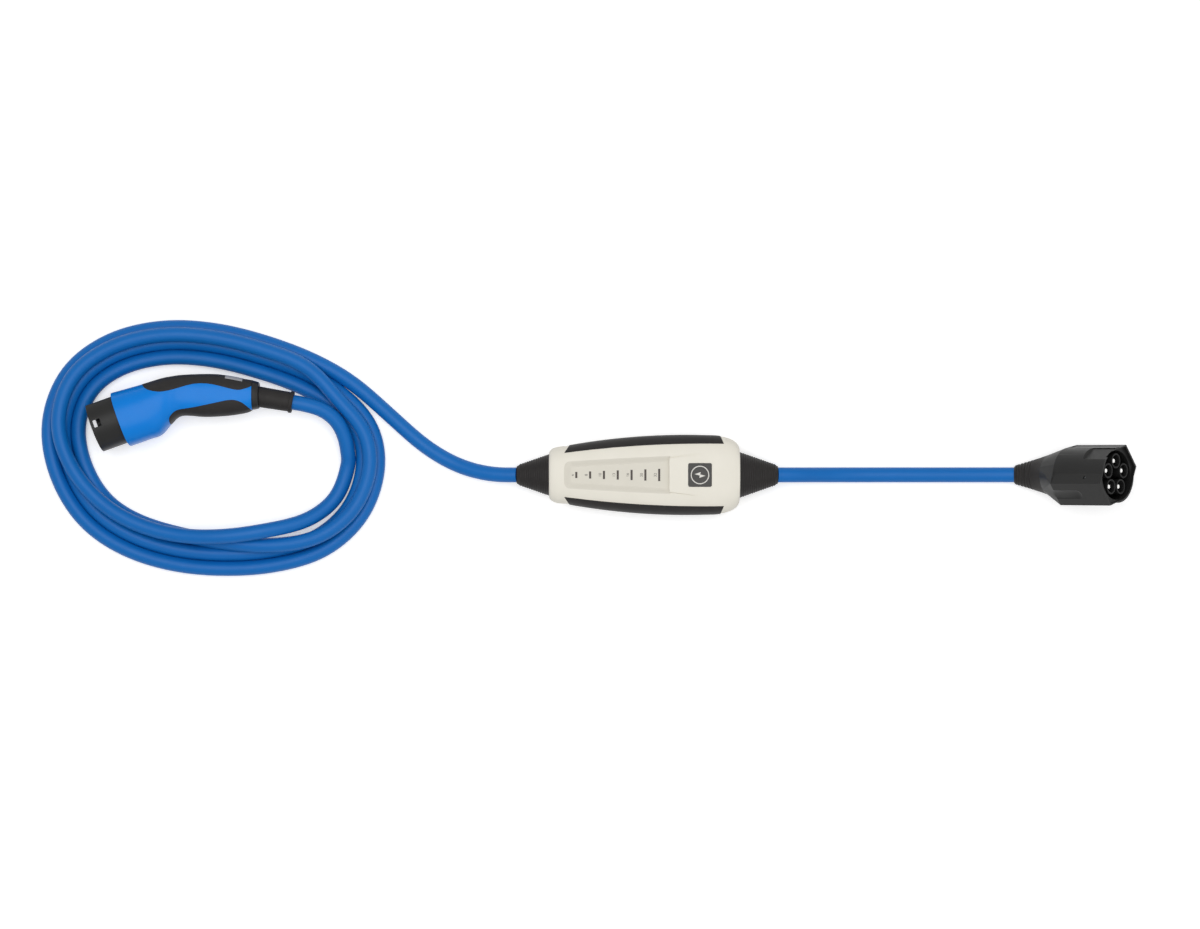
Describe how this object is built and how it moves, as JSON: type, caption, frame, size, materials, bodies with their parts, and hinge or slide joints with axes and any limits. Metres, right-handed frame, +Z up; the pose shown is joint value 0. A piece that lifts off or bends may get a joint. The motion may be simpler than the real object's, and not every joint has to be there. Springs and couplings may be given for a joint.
{
  "type": "portable ev charger",
  "caption": "Portable charger for electric cars: a control box on a cable with a coiled vehicle connector at one end and a multi-pin supply coupling at the other.",
  "frame": {"origin": "on the floor under the middle of the control box and its two cable boots", "axes": "+X along the box towards the supply coupling, +Y towards the rear bumper, +Z up from the floor"},
  "size_m": [1.2808, 0.3001, 0.1217],
  "materials": {
    "cream": "fine matt texture",
    "black_plastic": "satin",
    "black_rubber": "matt",
    "blue_plastic": "satin",
    "cable_blue": "satin sheath",
    "steel": "plain",
    "silver": "plated",
    "brass": "plain",
    "board": "varnished",
    "smoke": "smoked",
    "print_grey": "satin",
    "emblem": "satin",
    "relay": "matt",
    "terminal": "matt",
    "seal": "matt"
  },
  "bodies": {
    "root": {"upper_shell": "cream", "lower_shell": "cream", "rear_bumper": "black_rubber", "front_bumper": "black_rubber", "shell_gasket": "black_rubber", "shell_screws": "steel", "light_guide": "smoke", "lamp_board": "board", "lamp_screws": "steel", "emblem_plate": "emblem", "main_board": "board", "board_screws": "steel", "power_relays": "relay", "current_sensor": "black_plastic", "terminal_blocks": "terminal", "phase_leads": "black_rubber", "vehicle_side_boot": "black_rubber", "supply_side_boot": "black_rubber", "cable_ends": "cable_blue", "cable_clamps": "black_plastic", "clamp_screws": "steel", "nose_shroud": "black_plastic", "contact_carrier": "black_plastic", "power_contacts": "brass", "pilot_contacts": "brass", "handle_shell_upper": "blue_plastic", "handle_shell_lower": "blue_plastic", "grip_top": "black_rubber", "grip_bottom": "black_rubber", "label_plate": "print_grey", "handle_screws": "steel", "handle_end_cap": "black_plastic", "gun_boot": "black_rubber", "gun_cable_core": "cable_blue", "handle_clamp": "black_plastic", "coupling_tail": "black_rubber", "coupling_housing": "black_plastic", "pin_insert": "black_plastic", "supply_pins": "silver", "coupling_seal": "seal", "side_screw": "steel", "vehicle_cable": "cable_blue", "supply_cable": "cable_blue"}
  },
  "joints": []
}
